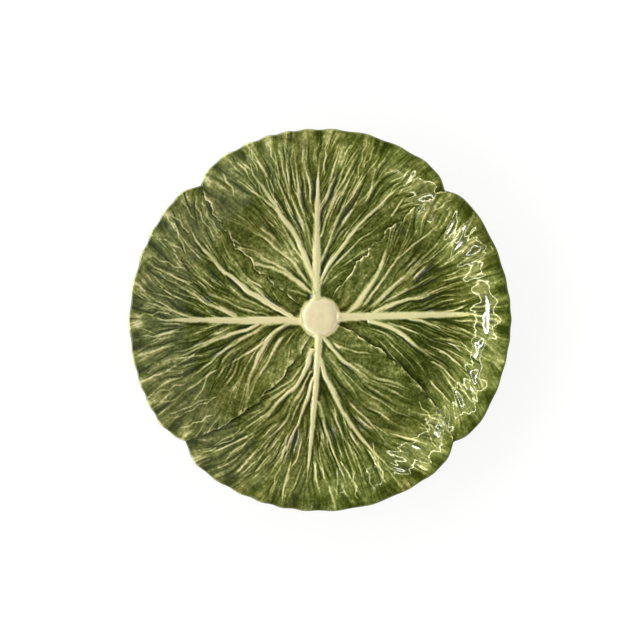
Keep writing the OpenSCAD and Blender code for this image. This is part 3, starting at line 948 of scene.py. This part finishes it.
def foot_glaze(colours):
    """Green glaze on the sides of the foot ring, wiped off the tread so that bare clay shows."""
    material, tree = new_material("foot_clay")
    place = add(tree, "ShaderNodeTexCoord").outputs["Object"]
    height = add(tree, "ShaderNodeSeparateXYZ", [("Vector", place)]).outputs["Z"]
    ragged, grain = noise(tree, 4, 3.0), noise(tree, 0.8, 4.0)
    wiped = eased(tree, calc(tree, "MULTIPLY_ADD", ragged, 1.2 * MM, height), 1.1 * MM, 1.4 * MM)
    clay = ramp(tree, grain, (0.35, 0.65), ([v * 0.82 for v in colours.clay], colours.clay))
    green = ramp(tree, ragged, (0.3, 0.7), (colours.deep, colours.middle))
    bare, glossy = coat(tree, clay, grain, 0.4, 0.06, 0.85), coat(tree, green, grain, 0.4, 0.06, 0.15)
    both = add(tree, "ShaderNodeMixShader", [("Fac", wiped), (1, bare), (2, glossy)])
    return surfaced(material, both.outputs[0])


def for_camera(tree, usual, seen):
    """One shader for light and mirror images, and another one for the camera."""
    ray = add(tree, "ShaderNodeLightPath").outputs["Is Camera Ray"]
    links = [("Fac", ray), (1, usual.outputs[0]), (2, seen.outputs[0])]
    return add(tree, "ShaderNodeMixShader", links).outputs[0]


def backdrop(studio):
    """Floor paint; the camera sees it glow like a lit backdrop with only a faint shadow on it."""
    material, tree = new_material("studio_floor")
    paint = add(tree, "ShaderNodeBsdfDiffuse", Color=(*studio.floor_tone, 1))
    pale = add(tree, "ShaderNodeBsdfDiffuse", Color=(0.2, 0.2, 0.2, 1))
    glow = add(tree, "ShaderNodeEmission", Color=(1, 1, 1, 1), Strength=0.84)
    lit = add(tree, "ShaderNodeAddShader", [(0, pale.outputs[0]), (1, glow.outputs[0])])
    return surfaced(material, for_camera(tree, paint, lit))


def light_tent(studio):
    """Light from all round, with what the wall of the plate mirrors."""
    world = bpy.data.worlds.new("studio")
    world.use_nodes = True
    tree = world.node_tree
    tree.nodes.clear()
    way = add(tree, "ShaderNodeTexCoord").outputs["Generated"]
    split = add(tree, "ShaderNodeSeparateXYZ", [("Vector", way)])
    east, north, up = (split.outputs[axis] for axis in "XYZ")
    # bright near the horizon and dark above, so that the level glaze mirrors no haze
    low, high = math.sin(math.radians(16)), math.sin(math.radians(25.5))
    ring = eased(tree, up, low, high, studio.tent_level, studio.top_level)
    towards = [math.cos(math.radians(170)), math.sin(math.radians(170)), 0]
    left = add(tree, "ShaderNodeVectorMath", [(0, way), (1, towards)], operation="DOT_PRODUCT").outputs["Value"]
    ring = calc(tree, "MULTIPLY", ring, eased(tree, left, -0.6, 1.0, 0.75, 1 + studio.key_level))
    # on the left a soft panel with a bright rim, and a brighter strip below the rim: the bumpy
    # wall opposite mirrors them as thin loops and short bars
    glow = eased(tree, left, 0.1, 0.5, 0, studio.panel_level)
    panel = calc(tree, "MULTIPLY", eased(tree, up, 0.6, 0.58), glow)
    ring = calc(tree, "ADD", ring, panel)
    strips = []
    dip = calc(tree, "MULTIPLY_ADD", calc(tree, "MINIMUM", north, 0.0), -0.02, up)
    for height, elevation, half, level in (
        (dip, 36.6, 0.005, studio.arc_level), (up, 29.1, 0.0055, 1.2 * studio.arc_level)
    ):
        apart = calc(tree, "ABSOLUTE", calc(tree, "SUBTRACT", height, math.sin(math.radians(elevation))))
        reach = eased(tree, left, 0.28, 0.5, 0, level)
        strips.append(calc(tree, "MULTIPLY", eased(tree, apart, 1.4 * half, 0.6 * half), reach))
    ring = calc(tree, "ADD", ring, strips[1])
    # a weak veil on the right, mirrored by the wall on the left
    haze = eased(tree, east, 0.05, 0.45, 0, studio.veil_level)
    veil = calc(tree, "MULTIPLY", haze, eased(tree, up, 0.95, 0.85))
    even = add(tree, "ShaderNodeBackground", [("Strength", calc(tree, "ADD", ring, veil))], Color=(1, 1, 1, 1))
    warm = add(tree, "ShaderNodeBackground", [("Strength", strips[0])], Color=(*srgb("#fffdcc"), 1))
    tent = add(tree, "ShaderNodeAddShader", [(0, even.outputs[0]), (1, warm.outputs[0])])
    white = add(tree, "ShaderNodeBackground", Color=(1, 1, 1, 1), Strength=1.0)
    add(tree, "ShaderNodeOutputWorld", [("Surface", for_camera(tree, tent, white))])
    return world


# -------------------- operators


class LEAFPLATE_OT_leaves(bpy.types.Operator):
    """Model the four leaves with their ribs"""

    bl_idname = "leafplate.leaves"
    bl_label = "Leaves"

    def execute(self, context):
        scene = context.scene
        p = plate_form(scene)
        relief = millimetres(scene.leaf_relief)
        relief.seed = scene.leaf_relief.seed
        material = green_glaze(scene.glaze_colours)
        for k, name in enumerate(LEAF_NAMES):
            piece = finished(leaf_grid(), name + "_leaf_relief", material)
            shape_leaf(p, k, piece.data, leaf_raster(p, k, relief), relief)
            piece.data.set_sharp_from_angle(angle=math.radians(65))
            piece.data.update()
            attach(piece, "root")
            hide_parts(name + "_leaf", name + "_ribs")
        return {"FINISHED"}


class LEAFPLATE_OT_stalk(bpy.types.Operator):
    """Model the cut stalk in the middle of the plate"""

    bl_idname = "leafplate.stalk"
    bl_label = "Stalk"

    def execute(self, context):
        scene = context.scene
        p = plate_form(scene)
        low, top = p.floor_z, p.stalk_top
        # distance inside the widest circle, and height
        side = (
            (2.5, low - 1.5), (0.6, low), (0.1, low + 0.4), (0.45, low + 0.95), (1.2, low + 1.5),
            (2.5, top - 0.25), (4.2, top - 0.06), (6, top - 0.1),
        )
        profile = [(0, low - 1.5), *((p.stalk_r - inset, z) for inset, z in side), (0, top - 0.14)]
        bm = turned(profile, 96)
        # the cut is a little off round and off level
        for v in bm.verts:
            a, r = math.atan2(v.co.y, v.co.x), math.hypot(v.co.x, v.co.y) / MM
            worn = 1 - 0.012 * (math.sin(3 * a + 0.7) + 0.8 * math.sin(5 * a)) * smooth(r, 3, p.stalk_r) - 0.012
            v.co.x *= worn
            v.co.y *= worn
            if v.co.z / MM > p.floor_z + 1.6:
                v.co.z += 0.05 * MM * math.sin(2 * a + 1) * min(1, r / 4) - 0.05 * MM
        bmesh.ops.translate(bm, verts=bm.verts, vec=(0, p.stalk_offset * MM, 0))
        piece = finished(bm, "cut_stalk", cream_glaze(scene.glaze_colours))
        rounding = piece.modifiers.new("rounding", "SUBSURF")
        rounding.levels = rounding.render_levels = 2
        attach(piece, "root")
        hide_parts("stalk")
        return {"FINISHED"}


class LEAFPLATE_OT_foot(bpy.types.Operator):
    """Model the foot ring with its unglazed tread"""

    bl_idname = "leafplate.foot"
    bl_label = "Foot ring"

    def execute(self, context):
        scene = context.scene
        p = plate_form(scene)
        middle = (p.foot_width - p.foot_clay) / 2
        wide, narrow, high = p.foot_clay / 2, p.tread / 2, p.foot_height
        half = [(wide, high), (wide - 0.9, high * 0.62), (narrow + 0.35, 0.5), (narrow - 0.25, 0)]
        profile = [(middle - x, z) for x, z in half] + [(middle + x, z) for x, z in half[::-1]]
        piece = finished(turned(profile, 240, closed=True), "glazed_foot_ring", foot_glaze(scene.glaze_colours))
        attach(piece, "root")
        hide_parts("foot_ring")
        return {"FINISHED"}


class LEAFPLATE_OT_stage(bpy.types.Operator):
    """Set the floor, the lamps and the camera over the plate"""

    bl_idname = "leafplate.stage"
    bl_label = "Stage"

    def execute(self, context):
        scene = context.scene
        studio, sizes = scene.studio_settings, scene.plate_sizes
        scene.view_settings.view_transform = "Standard"
        scene.world = light_tent(studio)

        bm = bmesh.new()
        bmesh.ops.create_grid(bm, x_segments=2, y_segments=2, size=3)
        material = backdrop(studio)
        finished(bm, "studio_floor", material)

        # a window low on the left, which the right wall mirrors as a bar
        light = bpy.data.lights.new("small_window", "AREA")
        light.shape = "RECTANGLE"
        width, height = 0.5, 0.03
        light.size, light.size_y = width, height
        light.energy = studio.arc_level * math.pi * width * height
        window = bpy.data.objects.new("small_window", light)
        azimuth, elevation, distance = math.radians(181), math.radians(31.5), 1.2
        level = math.cos(elevation)
        way = Vector((math.cos(azimuth) * level, math.sin(azimuth) * level, math.sin(elevation)))
        window.location = way * distance
        window.rotation_euler = (-window.location).to_track_quat("-Z", "Y").to_euler()
        scene.collection.objects.link(window)

        camera = bpy.data.cameras.new("overhead_camera")
        camera.sensor_width = 36
        depth = studio.camera_height - sizes.plate_height
        share = studio.plate_pixels / PICTURE_PIXELS
        camera.lens = camera.sensor_width * depth * share / sizes.plate_width
        scene.camera = bpy.data.objects.new("overhead_camera", camera)
        scene.camera.location = (0, 0, studio.camera_height)
        scene.collection.objects.link(scene.camera)
        return {"FINISHED"}


class LEAFPLATE_PT_panel(bpy.types.Panel):
    """The plate's settings and its operators"""

    bl_idname = "LEAFPLATE_PT_panel"
    bl_label = "Leaf Plate"
    bl_space_type = "VIEW_3D"
    bl_region_type = "UI"
    bl_category = "Leaf Plate"

    def draw(self, context):
        for name in GROUPS:
            group, box = getattr(context.scene, name), self.layout.box()
            for prop in group.bl_rna.properties:
                if prop.identifier not in {"rna_type", "name"}:
                    box.prop(group, prop.identifier)
        for name in OPERATOR_ORDER:
            self.layout.operator("leafplate." + name)


OPERATOR_ORDER = ("stage", "leaves", "stalk", "foot")
GROUPS = {
    "plate_sizes": PlateSizes,
    "leaf_relief": LeafRelief,
    "glaze_colours": GlazeColours,
    "studio_settings": StudioSettings,
}
CLASSES = (
    *GROUPS.values(), LEAFPLATE_OT_leaves, LEAFPLATE_OT_stalk, LEAFPLATE_OT_foot, LEAFPLATE_OT_stage,
    LEAFPLATE_PT_panel,
)


def register():
    for cls in CLASSES:
        bpy.utils.register_class(cls)
    for name, group in GROUPS.items():
        setattr(bpy.types.Scene, name, PointerProperty(type=group))


def unregister():
    for name in GROUPS:
        delattr(bpy.types.Scene, name)
    for cls in reversed(CLASSES):
        bpy.utils.unregister_class(cls)


def main():
    register()
    for name in OPERATOR_ORDER:
        getattr(bpy.ops.leafplate, name)()


if __name__ == "__main__":
    main()
